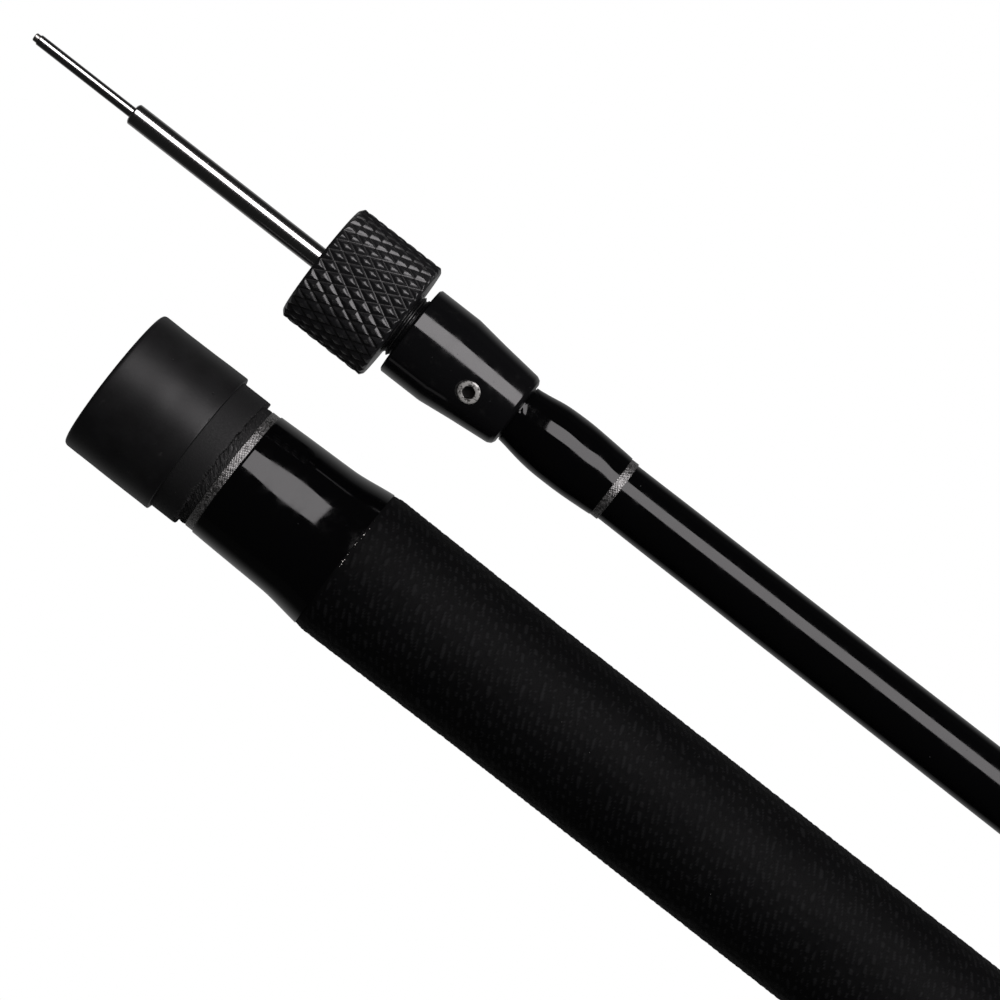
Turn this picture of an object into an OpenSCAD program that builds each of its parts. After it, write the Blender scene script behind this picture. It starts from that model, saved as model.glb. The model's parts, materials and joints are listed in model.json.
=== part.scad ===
// Take-apart pole with a pin-tip chuck, as two sections that lie side by side.
// +X runs along both sections, away from the butt. The origin is the centre of the butt's end face.
// The handle's axis is Y = 0, the tip section's axis is Y = axis_spacing, and both are at Z = 0.

/* [Layout] */
// Distance between the axes of the two sections
axis_spacing = 44.2; // [40:0.1:60]
// Length of the handle, from the butt's end face to the joint's face
handle_len = 480; // [440:10:600]
// X of the knurled nut's front face, counted from the butt's end face
nut_x = 18.1; // [10:0.1:30]

/* [Handle] */
// Outer diameter of the handle's tube
tube_d = 28; // [27.5:0.1:28]
// Wall thickness of the handle's tube
tube_wall = 2; // [1.5:0.1:2.5]
// Outer diameter of the grip sleeve
grip_d = 32.1; // [31:0.1:32.2]
// X at which the grip sleeve starts
grip_start = 58.5; // [55:0.1:70]
// Diameter of the butt cap at its mouth
cap_d = 32.84; // [32.4:0.02:33.2]
// Length of the butt cap
cap_len = 21.2; // [18:0.1:24]
// Outer diameter of the sleeve under the butt cap
cap_sleeve_d = 30.6; // [30:0.1:30.8]
// Length of that sleeve that shows behind the cap
cap_sleeve_show = 6; // [4:0.1:8]

/* [Tip section] */
// Diameter of the shaft just behind its front trim band
shaft_d = 13.2; // [12.8:0.02:13.6]
// Growth of the shaft's diameter along its length, mm per mm
shaft_taper = 0.0067; // [0:0.0001:0.008]
// Diameter of the knurled nut
nut_d = 26.9; // [25:0.1:28]
// Length of the knurled nut
nut_len = 20.4; // [19:0.1:21]
// Largest diameter of the ferrule
ferrule_d = 20.2; // [19.6:0.02:20.6]
// Length of the ferrule's visible body
ferrule_len = 27.1; // [26:0.1:29]
// Nominal diameter of the chuck's outside thread
neck_d = 14; // [13.8:0.1:14.2]
// Thread showing between the nut and the ferrule
neck_show = 2.1; // [1.5:0.1:4]

/* [Probe] */
// Outer diameter of the probe's tube
rod_d = 4.7; // [4.4:0.05:4.8]
// Length of the tube that stands out of the nut
rod_show = 47.9; // [46:0.1:50]
// Diameter of the thin pin
pin_d = 2.3; // [2:0.05:2.4]
// Length of the pin and its magnet that stands out of the tube
pin_show = 24.9; // [23:0.1:26]

/* [Screw joint] */
// Outer diameter of the threads that the union nut runs on
joint_thread_d = 26; // [25:0.5:26.5]
// Outer diameter of the union nut
union_d = 32.8; // [32:0.1:33]
// Length of the union nut
union_len = 18; // [17:0.5:20]

/* [Hidden] */
$fn = 96;

// Clearances on radius
run = 0.05;
free = 0.3;
loose = 0.4;

// Handle, from the butt forwards
cap_floor = 4;
cap_edge = 1;
cap_draft = 0.15;
tube_r = tube_d / 2;
tube_bore_r = tube_r - tube_wall;
sleeve_end = cap_len + cap_sleeve_show;
band_w = 1.8;
band_t = 0.3;
butt_band_x = sleeve_end + 2;
butt_wrap_x = butt_band_x + band_w;
wrap_skin = 0.6;
grip_r = grip_d / 2;
grip_flare = 0.36;
grip_edge = 2.1;
flare_len = 40;
underlay_t = 1;
joint_face = handle_len;
thread_len = 10;
boss_collar = 8;
spigot_len = 26;
tube_end = joint_face - thread_len - boss_collar;
front_band_x = tube_end - 4 - band_w;
front_wrap_x = front_band_x - 26;

// Tip section, from the probe backwards
nut_back = nut_x + nut_len;
ferrule_x = nut_back + neck_show;
ferrule_back = ferrule_x + ferrule_len;
ferrule_r = ferrule_d / 2;
ferrule_back_r = 8.35;
shank_r = 6.5;
shank_end = ferrule_x + 21.4;
ferrule_bore_r = 3.6;
ferrule_spigot = 20;
nose_r = 6.1;
tip_wrap_x = ferrule_back + 0.2;
tip_wrap_len = 23.6;
tip_band_x = tip_wrap_x + tip_wrap_len;
shaft_bore_r = 4.4;
tail_bore_r = 5.6;
hub_r = 9;
flange_t = 4;
hub_x = joint_face - 28;
tail_wrap_len = 26;
tail_wrap_x = hub_x - tail_wrap_len;

// Chuck: the collet's jaws close in the body's taper as the nut pushes them in
neck_r = neck_d / 2;
body_mouth = nut_x + 7.4;
taper_end = nut_x + 15.4;
collet_end = nut_x + 19.4;
mouth_r = 5.9;
guide_r = 3.9;
jaw_gap = 0.15;
collet_nose_r = 4.2;
collet_wide_r = 6;
slot_w = 0.8;
slot_len = 17;
rod_r = rod_d / 2;

// Grub screw and its pad, on an axis that leans towards -Y
grub_x = ferrule_x + 17.1;
grub_lean = 18.5;
grub_r = 2.4;
pad_r = 1.9;
pad_low = 5.5;
pad_top = 6.55;
grub_top = 9.1;
hex_af = 2.5;
hex_depth = 1.3;

// Probe
rod_front = nut_x - rod_show;
rod_end = shank_end + 4.4;
collar_r = 3.2;
collar_len = 4;
rod_bore_r = 1.65;
pin_r = pin_d / 2;
lip_len = 2.1;
magnet_r = 0.9;
magnet_len = 6;
magnet_show = 1;
pin_front = rod_front - pin_show;
pin_end = rod_front + 30;
bush_len = 4;

// Union nut, captive behind the tail's flange
thread_r = joint_thread_d / 2;
union_back = joint_face - union_len;
union_wall = 2.6;
slip_t = 1;

// Smooth step from 0 to 1
function ease(t) = let (u = min(1, max(0, t))) u * u * (3 - 2 * u);

// Radius of the handle's end windings, at a distance from the end next to the trim band
function ramp_r(d) = tube_r + wrap_skin + 0.026 * d + 1.0 * ease((d - 18) / 12);

// Radius of the winding behind the ferrule, at a fraction u of its length
function tip_wrap_r(u) = nose_r + 0.3 + 1.25 * pow(sin(90 * min(1, u / 0.45)), 1.2)
    - 0.59 * pow(max(0, u - 0.5) / 0.5, 1.8);

// Radius of the shaft at x
function shaft_r(x) = (shaft_d + shaft_taper * (x - tip_band_x)) / 2;

// Solid turned about the X axis from [x, radius] points
module turned(points) {
    rotate([0, 90, 0])
        rotate_extrude()
            polygon([for (p = points) [p[1], p[0]]]);
}

// Plain ring from x0 to x1
module ring(x0, x1, inner, outer) {
    turned([[x0, inner], [x1, inner], [x1, outer], [x0, outer]]);
}

// Places a solid on the tip section's axis
module on_tip() {
    translate([0, axis_spacing, 0])
        children();
}

// Places a solid on the grub screw's axis, with +Z outwards
module on_grub() {
    translate([grub_x, axis_spacing, 0])
        rotate([grub_lean, 0, 0])
            children();
}

// Moulded rubber cap over the butt, with a rounded rim
module butt_cap() {
    r = cap_d / 2;
    corner = [for (a = [0:15:90]) [cap_edge * (1 - sin(a)), r - cap_draft - cap_edge * (1 - cos(a))]];
    color("#18181a")
        turned(concat(
            [[cap_floor, 0], [cap_floor, cap_sleeve_d / 2], [cap_len, cap_sleeve_d / 2], [cap_len, r]],
            corner,
            [[0, 0]]));
}

// Rubber sleeve that the cap is glued onto
module cap_sleeve() {
    color("#101012")
        ring(cap_floor, sleeve_end, tube_r, cap_sleeve_d / 2);
}

// Woven metallic band at the butt
module butt_trim_band() {
    color("#a8a8aa")
        ring(butt_band_x, butt_wrap_x, tube_r, tube_r + band_t);
}

// Gloss epoxy winding that ramps up to the grip
module butt_wrap() {
    len = grip_start - butt_wrap_x;
    steps = 14;
    outline = [for (i = [0:steps]) let (d = len * i / steps) [butt_wrap_x + d, ramp_r(d)]];
    color("#060607")
        turned(concat([[butt_wrap_x, tube_r]], outline, [[grip_start, tube_r]]));
}

// Fibre tube of the handle
module handle_tube() {
    color("#0c0c0d")
        ring(cap_floor, tube_end, tube_bore_r, tube_r);
}

// Foam layer under the grip sleeve
module grip_underlay() {
    color("#2c2c2e")
        ring(grip_start, front_wrap_x, tube_r, tube_r + underlay_t);
}

// Textured rubber sleeve of the grip, a little larger behind its tucked-in edge
module grip_sleeve() {
    inner = tube_r + underlay_t;
    full_x = grip_start + grip_edge;
    color("#161617")
        turned([
            [grip_start, inner],
            [grip_start, ramp_r(grip_start - butt_wrap_x)],
            [full_x, grip_r + grip_flare],
            [full_x + flare_len / 2, grip_r + grip_flare / 2],
            [full_x + flare_len, grip_r],
            [front_wrap_x, grip_r],
            [front_wrap_x, inner]]);
}

// Gloss epoxy winding at the grip's other end
module front_wrap() {
    len = front_band_x - front_wrap_x;
    steps = 14;
    outline = [for (i = [0:steps]) let (d = len * i / steps)
        [front_wrap_x + d, min(ramp_r(len - d), grip_r)]];
    color("#060607")
        turned(concat([[front_wrap_x, tube_r]], outline, [[front_band_x, tube_r]]));
}

// Woven metallic band at the handle's front
module front_trim_band() {
    color("#a8a8aa")
        ring(front_band_x, front_band_x + band_w, tube_r, tube_r + band_t);
}

// Metal end of the handle: spigot in the tube, collar, and the thread for the union nut
module joint_boss() {
    bore_r = 8;
    color("#1b1b1d")
        turned([
            [tube_end - spigot_len, bore_r],
            [tube_end - spigot_len, tube_bore_r],
            [tube_end, tube_bore_r],
            [tube_end, tube_r],
            [joint_face - thread_len, tube_r],
            [joint_face - thread_len, thread_r],
            [joint_face - 1, thread_r],
            [joint_face, thread_r - 1],
            [joint_face, 0],
            [joint_face - 4, 0],
            [joint_face - 4, bore_r]]);
}

// Tapered fibre shaft of the tip section, with a turned-down nose under the front winding
module shaft_tube() {
    color("#070708")
        on_tip()
            turned([
                [ferrule_back, shaft_bore_r],
                [ferrule_back, nose_r],
                [tip_band_x, nose_r],
                [tip_band_x, shaft_r(tip_band_x)],
                [hub_x, shaft_r(hub_x)],
                [hub_x, tail_bore_r],
                [hub_x - spigot_len, tail_bore_r],
                [hub_x - spigot_len, shaft_bore_r]]);
}

// Gloss epoxy winding over the shaft's tail
module tail_wrap() {
    steps = 10;
    outline = [for (i = [0:steps]) let (u = i / steps, x = tail_wrap_x + tail_wrap_len * u)
        [x, shaft_r(x) + 0.3 + 0.9 * ease(u)]];
    color("#060607")
        on_tip()
            turned(concat(
                [[tail_wrap_x, shaft_r(tail_wrap_x)]],
                outline,
                [[hub_x, shaft_r(hub_x)]]));
}

// Woven metallic band ahead of the tail's winding
module tail_trim_band() {
    x0 = tail_wrap_x - band_w;
    color("#a8a8aa")
        on_tip()
            turned([
                [x0, shaft_r(x0)],
                [x0, shaft_r(x0) + band_t],
                [tail_wrap_x, shaft_r(tail_wrap_x) + band_t],
                [tail_wrap_x, shaft_r(tail_wrap_x)]]);
}

// Metal end of the tip section: spigot in the shaft, hub, and the flange that keeps the union nut
module tail_flange() {
    bore_r = 4;
    color("#1b1b1d")
        on_tip()
            turned([
                [hub_x - spigot_len, bore_r],
                [hub_x - spigot_len, tail_bore_r],
                [hub_x, tail_bore_r],
                [hub_x, hub_r],
                [joint_face - flange_t, hub_r],
                [joint_face - flange_t, thread_r],
                [joint_face - 0.5, thread_r],
                [joint_face, thread_r - 0.5],
                [joint_face, 0],
                [joint_face - flange_t, 0],
                [joint_face - flange_t, bore_r]]);
}

// Thin ring in the union nut, which slides along the hub and lets the nut turn
module union_slip_ring() {
    x0 = union_back + union_wall + 0.1;
    color("#b9954f")
        on_tip()
            ring(x0, x0 + slip_t, hub_r + run, thread_r + free - run);
}

// Captive union nut, with its inside thread at the front and a shoulder at the back
module union_nut() {
    r = union_d / 2;
    color("#151517")
        on_tip()
            turned([
                [union_back, hub_r + loose],
                [union_back, r - 1],
                [union_back + 1, r],
                [joint_face - 1, r],
                [joint_face, r - 1],
                [joint_face, thread_r + free],
                [union_back + union_wall, thread_r + free],
                [union_back + union_wall, hub_r + loose]]);
}

// Gloss epoxy winding behind the ferrule
module tip_wrap() {
    steps = 16;
    outline = [for (i = [0:steps]) let (u = i / steps) [tip_wrap_x + tip_wrap_len * u, tip_wrap_r(u)]];
    color("#060607")
        on_tip()
            turned(concat([[tip_wrap_x, nose_r]], outline, [[tip_band_x, nose_r]]));
}

// Woven metallic band behind the tip's winding
module tip_trim_band() {
    r0 = shaft_r(tip_band_x);
    x1 = tip_band_x + band_w;
    color("#a8a8aa")
        on_tip()
            turned([[tip_band_x, r0], [tip_band_x, r0 + band_t], [x1, shaft_r(x1) + band_t], [x1, shaft_r(x1)]]);
}

// Machined ferrule: socket for the chuck's shank, tapered back, spigot in the shaft, grub screw's hole
module tip_ferrule() {
    cone_x = ferrule_x + 10;
    round_x = ferrule_back - 1.2;
    color("#0a0a0b")
        difference() {
            on_tip()
                turned([
                    [ferrule_x, shank_r],
                    [ferrule_x, ferrule_r - 0.5],
                    [ferrule_x + 0.5, ferrule_r],
                    [cone_x, ferrule_r],
                    [cone_x + 7, ferrule_r - 0.85],
                    [round_x, ferrule_back_r],
                    [ferrule_back - 0.4, ferrule_back_r - 0.45],
                    [ferrule_back, ferrule_back_r - 1.2],
                    [ferrule_back, shaft_bore_r],
                    [ferrule_back + ferrule_spigot, shaft_bore_r],
                    [ferrule_back + ferrule_spigot, ferrule_bore_r],
                    [shank_end, ferrule_bore_r],
                    [shank_end, shank_r]]);
            on_grub()
                cylinder(h = ferrule_r, r = grub_r + run);
        }
}

// Chuck's body: threaded neck with the inner taper, shank in the ferrule, dimple for the pad
module chuck_body() {
    color("#0d0d0e")
        difference() {
            on_tip()
                turned([
                    [body_mouth, mouth_r],
                    [body_mouth, neck_r - 0.5],
                    [body_mouth + 0.5, neck_r],
                    [ferrule_x, neck_r],
                    [ferrule_x, shank_r],
                    [shank_end, shank_r],
                    [shank_end, rod_r + loose],
                    [collet_end + 1, rod_r + loose],
                    [collet_end + 1, guide_r],
                    [taper_end, guide_r]]);
            on_grub()
                translate([0, 0, pad_low - 0.1])
                    cylinder(h = shank_r, r = pad_r + run);
        }
}

// Soft pad between the grub screw and the shank
module grub_pad() {
    color("#b9954f")
        on_grub()
            translate([0, 0, pad_low])
                cylinder(h = pad_top - pad_low, r = pad_r);
}

// Grub screw with a hex socket
module grub_screw() {
    color("#8f8d88")
        on_grub()
            difference() {
                translate([0, 0, pad_top + run])
                    cylinder(h = grub_top - pad_top - run, r = grub_r);
                translate([0, 0, grub_top - hex_depth])
                    cylinder(h = hex_depth + 1, r = hex_af / 2 / cos(30), $fn = 6);
            }
}

// Split collet that grips the probe's tube
module collet() {
    color("#7d7c79")
        difference() {
            on_tip()
                turned([
                    [nut_x + 0.9, rod_r + run],
                    [nut_x + 0.9, collet_nose_r],
                    [nut_x + 2.9, collet_nose_r],
                    [nut_x + 5, collet_wide_r - jaw_gap],
                    [body_mouth, mouth_r - jaw_gap],
                    [taper_end, guide_r - jaw_gap],
                    [collet_end, guide_r - jaw_gap],
                    [collet_end, rod_r + run]]);
            for (a = [45, 135])
                translate([nut_x, axis_spacing, 0])
                    rotate([a, 0, 0])
                        translate([0, -slot_w / 2, -neck_r])
                            cube([slot_len, slot_w, neck_d]);
        }
}

// Knurled nut that closes the collet
module knurled_nut() {
    r = nut_d / 2;
    color("#121213")
        on_tip()
            turned([
                [nut_x, collet_nose_r + loose],
                [nut_x, r - 0.8],
                [nut_x + 0.8, r],
                [nut_back - 0.6, r],
                [nut_back, r - 0.6],
                [nut_back, neck_r + run + 0.5],
                [nut_back - 0.5, neck_r + run],
                [nut_x + 6, neck_r + run],
                [nut_x + 5, collet_wide_r + free],
                [nut_x + 2.9, collet_nose_r + loose]]);
}

// Steel tube of the probe, with a closed-down lip at its mouth
module probe_tube() {
    color("#c9c9c9")
        on_tip()
            turned([
                [rod_front, pin_r + run],
                [rod_front, rod_r - 0.3],
                [rod_front + 0.3, rod_r],
                [rod_end, rod_r],
                [rod_end, rod_bore_r],
                [rod_front + lip_len, rod_bore_r],
                [rod_front + lip_len, pin_r + run]]);
}

// Collar that stops the probe's tube from coming out of the chuck
module probe_stop_collar() {
    color("#9a9a9a")
        on_tip()
            ring(rod_end - collar_len, rod_end, rod_r, collar_r);
}

// Steel pin that slides in the probe's tube, bored for the magnet
module probe_pin() {
    x0 = pin_front + magnet_show;
    color("#d4d4d4")
        on_tip()
            turned([
                [x0, magnet_r],
                [x0, pin_r],
                [pin_end, pin_r],
                [pin_end, 0],
                [pin_front + magnet_len, 0],
                [pin_front + magnet_len, magnet_r]]);
}

// Bush on the pin's inner end, which drags in the tube and stops at its lip
module pin_bush() {
    color("#b9954f")
        on_tip()
            ring(pin_end - bush_len, pin_end, pin_r, rod_bore_r - run);
}

// Rod magnet set in the pin's end
module tip_magnet() {
    color("#b8b8ba")
        on_tip()
            turned([
                [pin_front, 0],
                [pin_front, magnet_r - 0.2],
                [pin_front + 0.2, magnet_r],
                [pin_front + magnet_len, magnet_r],
                [pin_front + magnet_len, 0]]);
}

butt_cap();
cap_sleeve();
butt_trim_band();
butt_wrap();
handle_tube();
grip_underlay();
grip_sleeve();
front_wrap();
front_trim_band();
joint_boss();
shaft_tube();
tail_wrap();
tail_trim_band();
tail_flange();
union_slip_ring();
union_nut();
tip_wrap();
tip_trim_band();
tip_ferrule();
chuck_body();
grub_pad();
grub_screw();
collet();
knurled_nut();
probe_tube();
probe_stop_collar();
probe_pin();
pin_bush();
tip_magnet();
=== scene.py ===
import json
import math
import random

import bmesh
import bpy
import numpy as np
from mathutils import Matrix, Vector

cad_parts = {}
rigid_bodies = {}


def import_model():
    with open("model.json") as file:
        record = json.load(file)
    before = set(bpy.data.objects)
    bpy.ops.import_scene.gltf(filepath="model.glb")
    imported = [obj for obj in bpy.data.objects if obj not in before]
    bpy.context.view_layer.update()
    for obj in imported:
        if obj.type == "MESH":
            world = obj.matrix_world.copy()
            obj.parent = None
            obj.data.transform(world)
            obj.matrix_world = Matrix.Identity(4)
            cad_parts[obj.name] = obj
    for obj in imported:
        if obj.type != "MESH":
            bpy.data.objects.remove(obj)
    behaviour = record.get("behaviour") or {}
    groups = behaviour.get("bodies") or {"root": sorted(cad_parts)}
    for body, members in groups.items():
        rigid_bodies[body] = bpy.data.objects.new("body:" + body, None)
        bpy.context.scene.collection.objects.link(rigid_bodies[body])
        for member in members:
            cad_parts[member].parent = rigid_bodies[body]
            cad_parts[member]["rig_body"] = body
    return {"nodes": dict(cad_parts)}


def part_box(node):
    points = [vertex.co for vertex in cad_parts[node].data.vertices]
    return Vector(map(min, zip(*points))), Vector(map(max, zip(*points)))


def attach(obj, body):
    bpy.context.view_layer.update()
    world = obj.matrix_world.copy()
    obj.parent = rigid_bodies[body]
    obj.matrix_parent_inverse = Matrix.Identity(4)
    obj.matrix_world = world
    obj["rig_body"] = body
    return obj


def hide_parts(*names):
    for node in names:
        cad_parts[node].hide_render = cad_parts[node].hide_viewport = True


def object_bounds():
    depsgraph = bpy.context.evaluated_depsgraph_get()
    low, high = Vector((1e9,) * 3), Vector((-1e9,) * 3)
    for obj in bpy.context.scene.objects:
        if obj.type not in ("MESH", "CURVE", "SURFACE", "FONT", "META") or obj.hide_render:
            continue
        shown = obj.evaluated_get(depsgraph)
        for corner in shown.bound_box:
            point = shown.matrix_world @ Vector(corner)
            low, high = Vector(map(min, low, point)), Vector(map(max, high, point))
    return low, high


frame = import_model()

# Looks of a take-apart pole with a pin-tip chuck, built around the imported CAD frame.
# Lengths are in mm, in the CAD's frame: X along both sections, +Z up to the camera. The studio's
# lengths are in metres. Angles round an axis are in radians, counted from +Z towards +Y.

MM = 0.001
TURN = 2 * math.pi
BOX_LO, BOX_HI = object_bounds()


# ---------------------------------------------------------------- places read from the CAD

def span(node):
    """(x at the back, x at the front, largest radius) of a CAD node that is turned about X, in mm."""
    lo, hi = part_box(node)
    return lo.x / MM, hi.x / MM, hi.z / MM


def middle_y(node):
    """Y of a turned CAD node's axis, in mm."""
    lo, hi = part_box(node)
    return (lo.y + hi.y) / 2 / MM


TIP_Y = middle_y("probe_tube")
FLOOR_Z = BOX_LO.z

# Sizes of the CAD that its nodes' boxes don't give.
TUBE_R = 14.0
TUBE_BORE_R = 12.0
SHAFT_TIP_R = 6.6
SHAFT_TAPER = 0.0067
SHAFT_BORE_R = 4.4
NOSE_R = 6.1
GRUB_LEAN = math.radians(18.5)
GRUB_X = 57.7
BOSS_THREAD_R = 13.0

# Thread pitches.
JOINT_PITCH = 1.5
NECK_PITCH = 1.0
GRUB_PITCH = 0.8


# ---------------------------------------------------------------- mesh tools

def ease(t):
    """Smooth step from 0 to 1."""
    u = np.clip(t, 0, 1)
    return u * u * (3 - 2 * u)


def bell(x, centre, width):
    """Bell curve of height 1."""
    return np.exp(-((x - centre) / width) ** 2)


def graded(x0, x1, steps, radius):
    """Points from x0 to x1 whose radius follows from the fraction of the way, 0 to 1."""
    return [(x0 + (x1 - x0) * i / steps, radius(i / steps)) for i in range(steps + 1)]


def ripple(seed, lengths, rounds, count=14):
    """Seeded smooth unevenness over x and the angle: a function that gives about -1 to 1."""
    rng = random.Random(seed)
    waves = []
    for _ in range(count):
        waves.append((TURN / rng.uniform(*lengths), rng.randint(*rounds), rng.uniform(0, TURN)))

    def height(x, a):
        return sum(np.sin(k * x + m * a + p) for k, m, p in waves) / math.sqrt(count) / 1.4

    return height


def rounded(points, radii, steps=4):
    """Outline with its corners rounded: one radius in mm per point, 0 to keep it sharp."""
    result = []
    for i, (point, radius) in enumerate(zip(points, radii)):
        here = Vector(point)
        if radius == 0:
            result.append(tuple(here))
            continue
        before = Vector(points[i - 1]) - here
        after = Vector(points[(i + 1) % len(points)]) - here
        half = before.angle(after) / 2
        cut = min(radius / math.tan(half), 0.49 * before.length, 0.49 * after.length)
        start = here + before.normalized() * cut
        end = here + after.normalized() * cut
        for k in range(steps + 1):
            t = k / steps
            result.append(tuple(start * (1 - t) ** 2 + here * 2 * t * (1 - t) + end * t * t))
    return result


def dense(points, step, low=-1e9, high=1e9, closed=True):
    """Outline whose edges between x = low and x = high are cut into pieces no longer than step."""
    result = []
    count = len(points)
    for i, point in enumerate(points):
        result.append(point)
        if i == count - 1 and not closed:
            break
        nxt = points[(i + 1) % count]
        inside = low <= min(point[0], nxt[0]) and max(point[0], nxt[0]) <= high
        if not inside:
            continue
        pieces = max(1, math.ceil(math.dist(point, nxt) / step - 1e-6))
        for k in range(1, pieces):
            t = k / pieces
            result.append((point[0] + (nxt[0] - point[0]) * t, point[1] + (nxt[1] - point[1]) * t))
    return result


def strip_faces(first, second, segments):
    """Faces between two rows of vertices; a row of one vertex is a pole on the axis."""
    faces = []
    for j in range(segments):
        k = (j + 1) % segments
        if len(first) == 1:
            faces.append((first[0], second[j], second[k]))
        elif len(second) == 1:
            faces.append((first[j], second[0], first[k]))
        else:
            faces.append((first[j], second[j], second[k], first[k]))
    return faces


def turned(name, outline, y=0.0, segments=96, shape=None, sharp=35.0):
    """Closed mesh turned about an axis along X from (x, radius) points.

    shape(x, r, a) may move the surface: it gets arrays and returns x, r and a relief from 0 to 1.
    """
    points = np.array(outline, float)
    following = np.roll(points, -1, axis=0)
    area = np.sum(points[:, 0] * following[:, 1] - following[:, 0] * points[:, 1])
    if area > 0:
        points = points[::-1]
    angles = np.linspace(-math.pi, math.pi, segments, endpoint=False)
    x = np.repeat(points[:, 0:1], segments, axis=1)
    r = np.repeat(points[:, 1:2], segments, axis=1)
    a = np.repeat(angles[None, :], len(points), axis=0)
    relief = np.ones_like(x)
    if shape:
        x, r, relief = shape(x, r, a)
    places = np.stack([x, y + r * np.sin(a), r * np.cos(a)], axis=-1) * MM
    vertices = []
    rows = []
    heights = []
    for i in range(len(points)):
        pole = points[i, 1] == 0
        count = 1 if pole else segments
        rows.append(list(range(len(vertices), len(vertices) + count)))
        vertices.extend(places[i, :count].tolist())
        heights.extend(relief[i, :count].tolist())
    faces = []
    for i in range(len(rows)):
        second = rows[(i + 1) % len(rows)]
        if len(rows[i]) == 1 and len(second) == 1:
            continue
        faces.extend(strip_faces(rows[i], second, segments))
    mesh = bpy.data.meshes.new(name)
    mesh.from_pydata(vertices, [], faces)
    made = mesh.attributes.new("relief", "FLOAT", "POINT")
    made.data.foreach_set("value", heights)
    finish_mesh(mesh, sharp)
    return mesh


def finish_mesh(mesh, sharp):
    """Smooth shading with edges sharper than an angle, in degrees, kept crisp."""
    mesh.shade_smooth()
    mesh.set_sharp_from_angle(angle=math.radians(sharp))
    mesh.update()


def cut_with(piece, cutter):
    """Cuts one mesh object out of another for good, and removes the cutter."""
    modifier = piece.modifiers.new("cut", "BOOLEAN")
    modifier.operation = "DIFFERENCE"
    modifier.solver = "EXACT"
    modifier.object = cutter
    graph = bpy.context.evaluated_depsgraph_get()
    result = bpy.data.meshes.new_from_object(piece.evaluated_get(graph))
    old = piece.data
    piece.modifiers.clear()
    result.name = old.name + "_cut"
    piece.data = result
    bpy.data.objects.remove(cutter)
    bpy.data.meshes.remove(old)


def show(name, data):
    """Adds an object with that data to the scene."""
    thing = bpy.data.objects.new(name, data)
    bpy.context.scene.collection.objects.link(thing)
    return thing


def put(node, mesh, material, name=None, replace=True):
    """Shows a mesh as a piece that rides with a CAD node's body and, usually, stands for that node."""
    piece = show(name or node + "_looks", mesh)
    mesh.materials.clear()
    mesh.materials.append(material)
    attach(piece, frame["nodes"][node]["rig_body"])
    if replace:
        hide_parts(node)
    return piece


def dress(node, material):
    """Gives a CAD node that stays in view its finished material."""
    for place in frame["nodes"][node].material_slots:
        place.material = material


# ---------------------------------------------------------------- material tools

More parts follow.
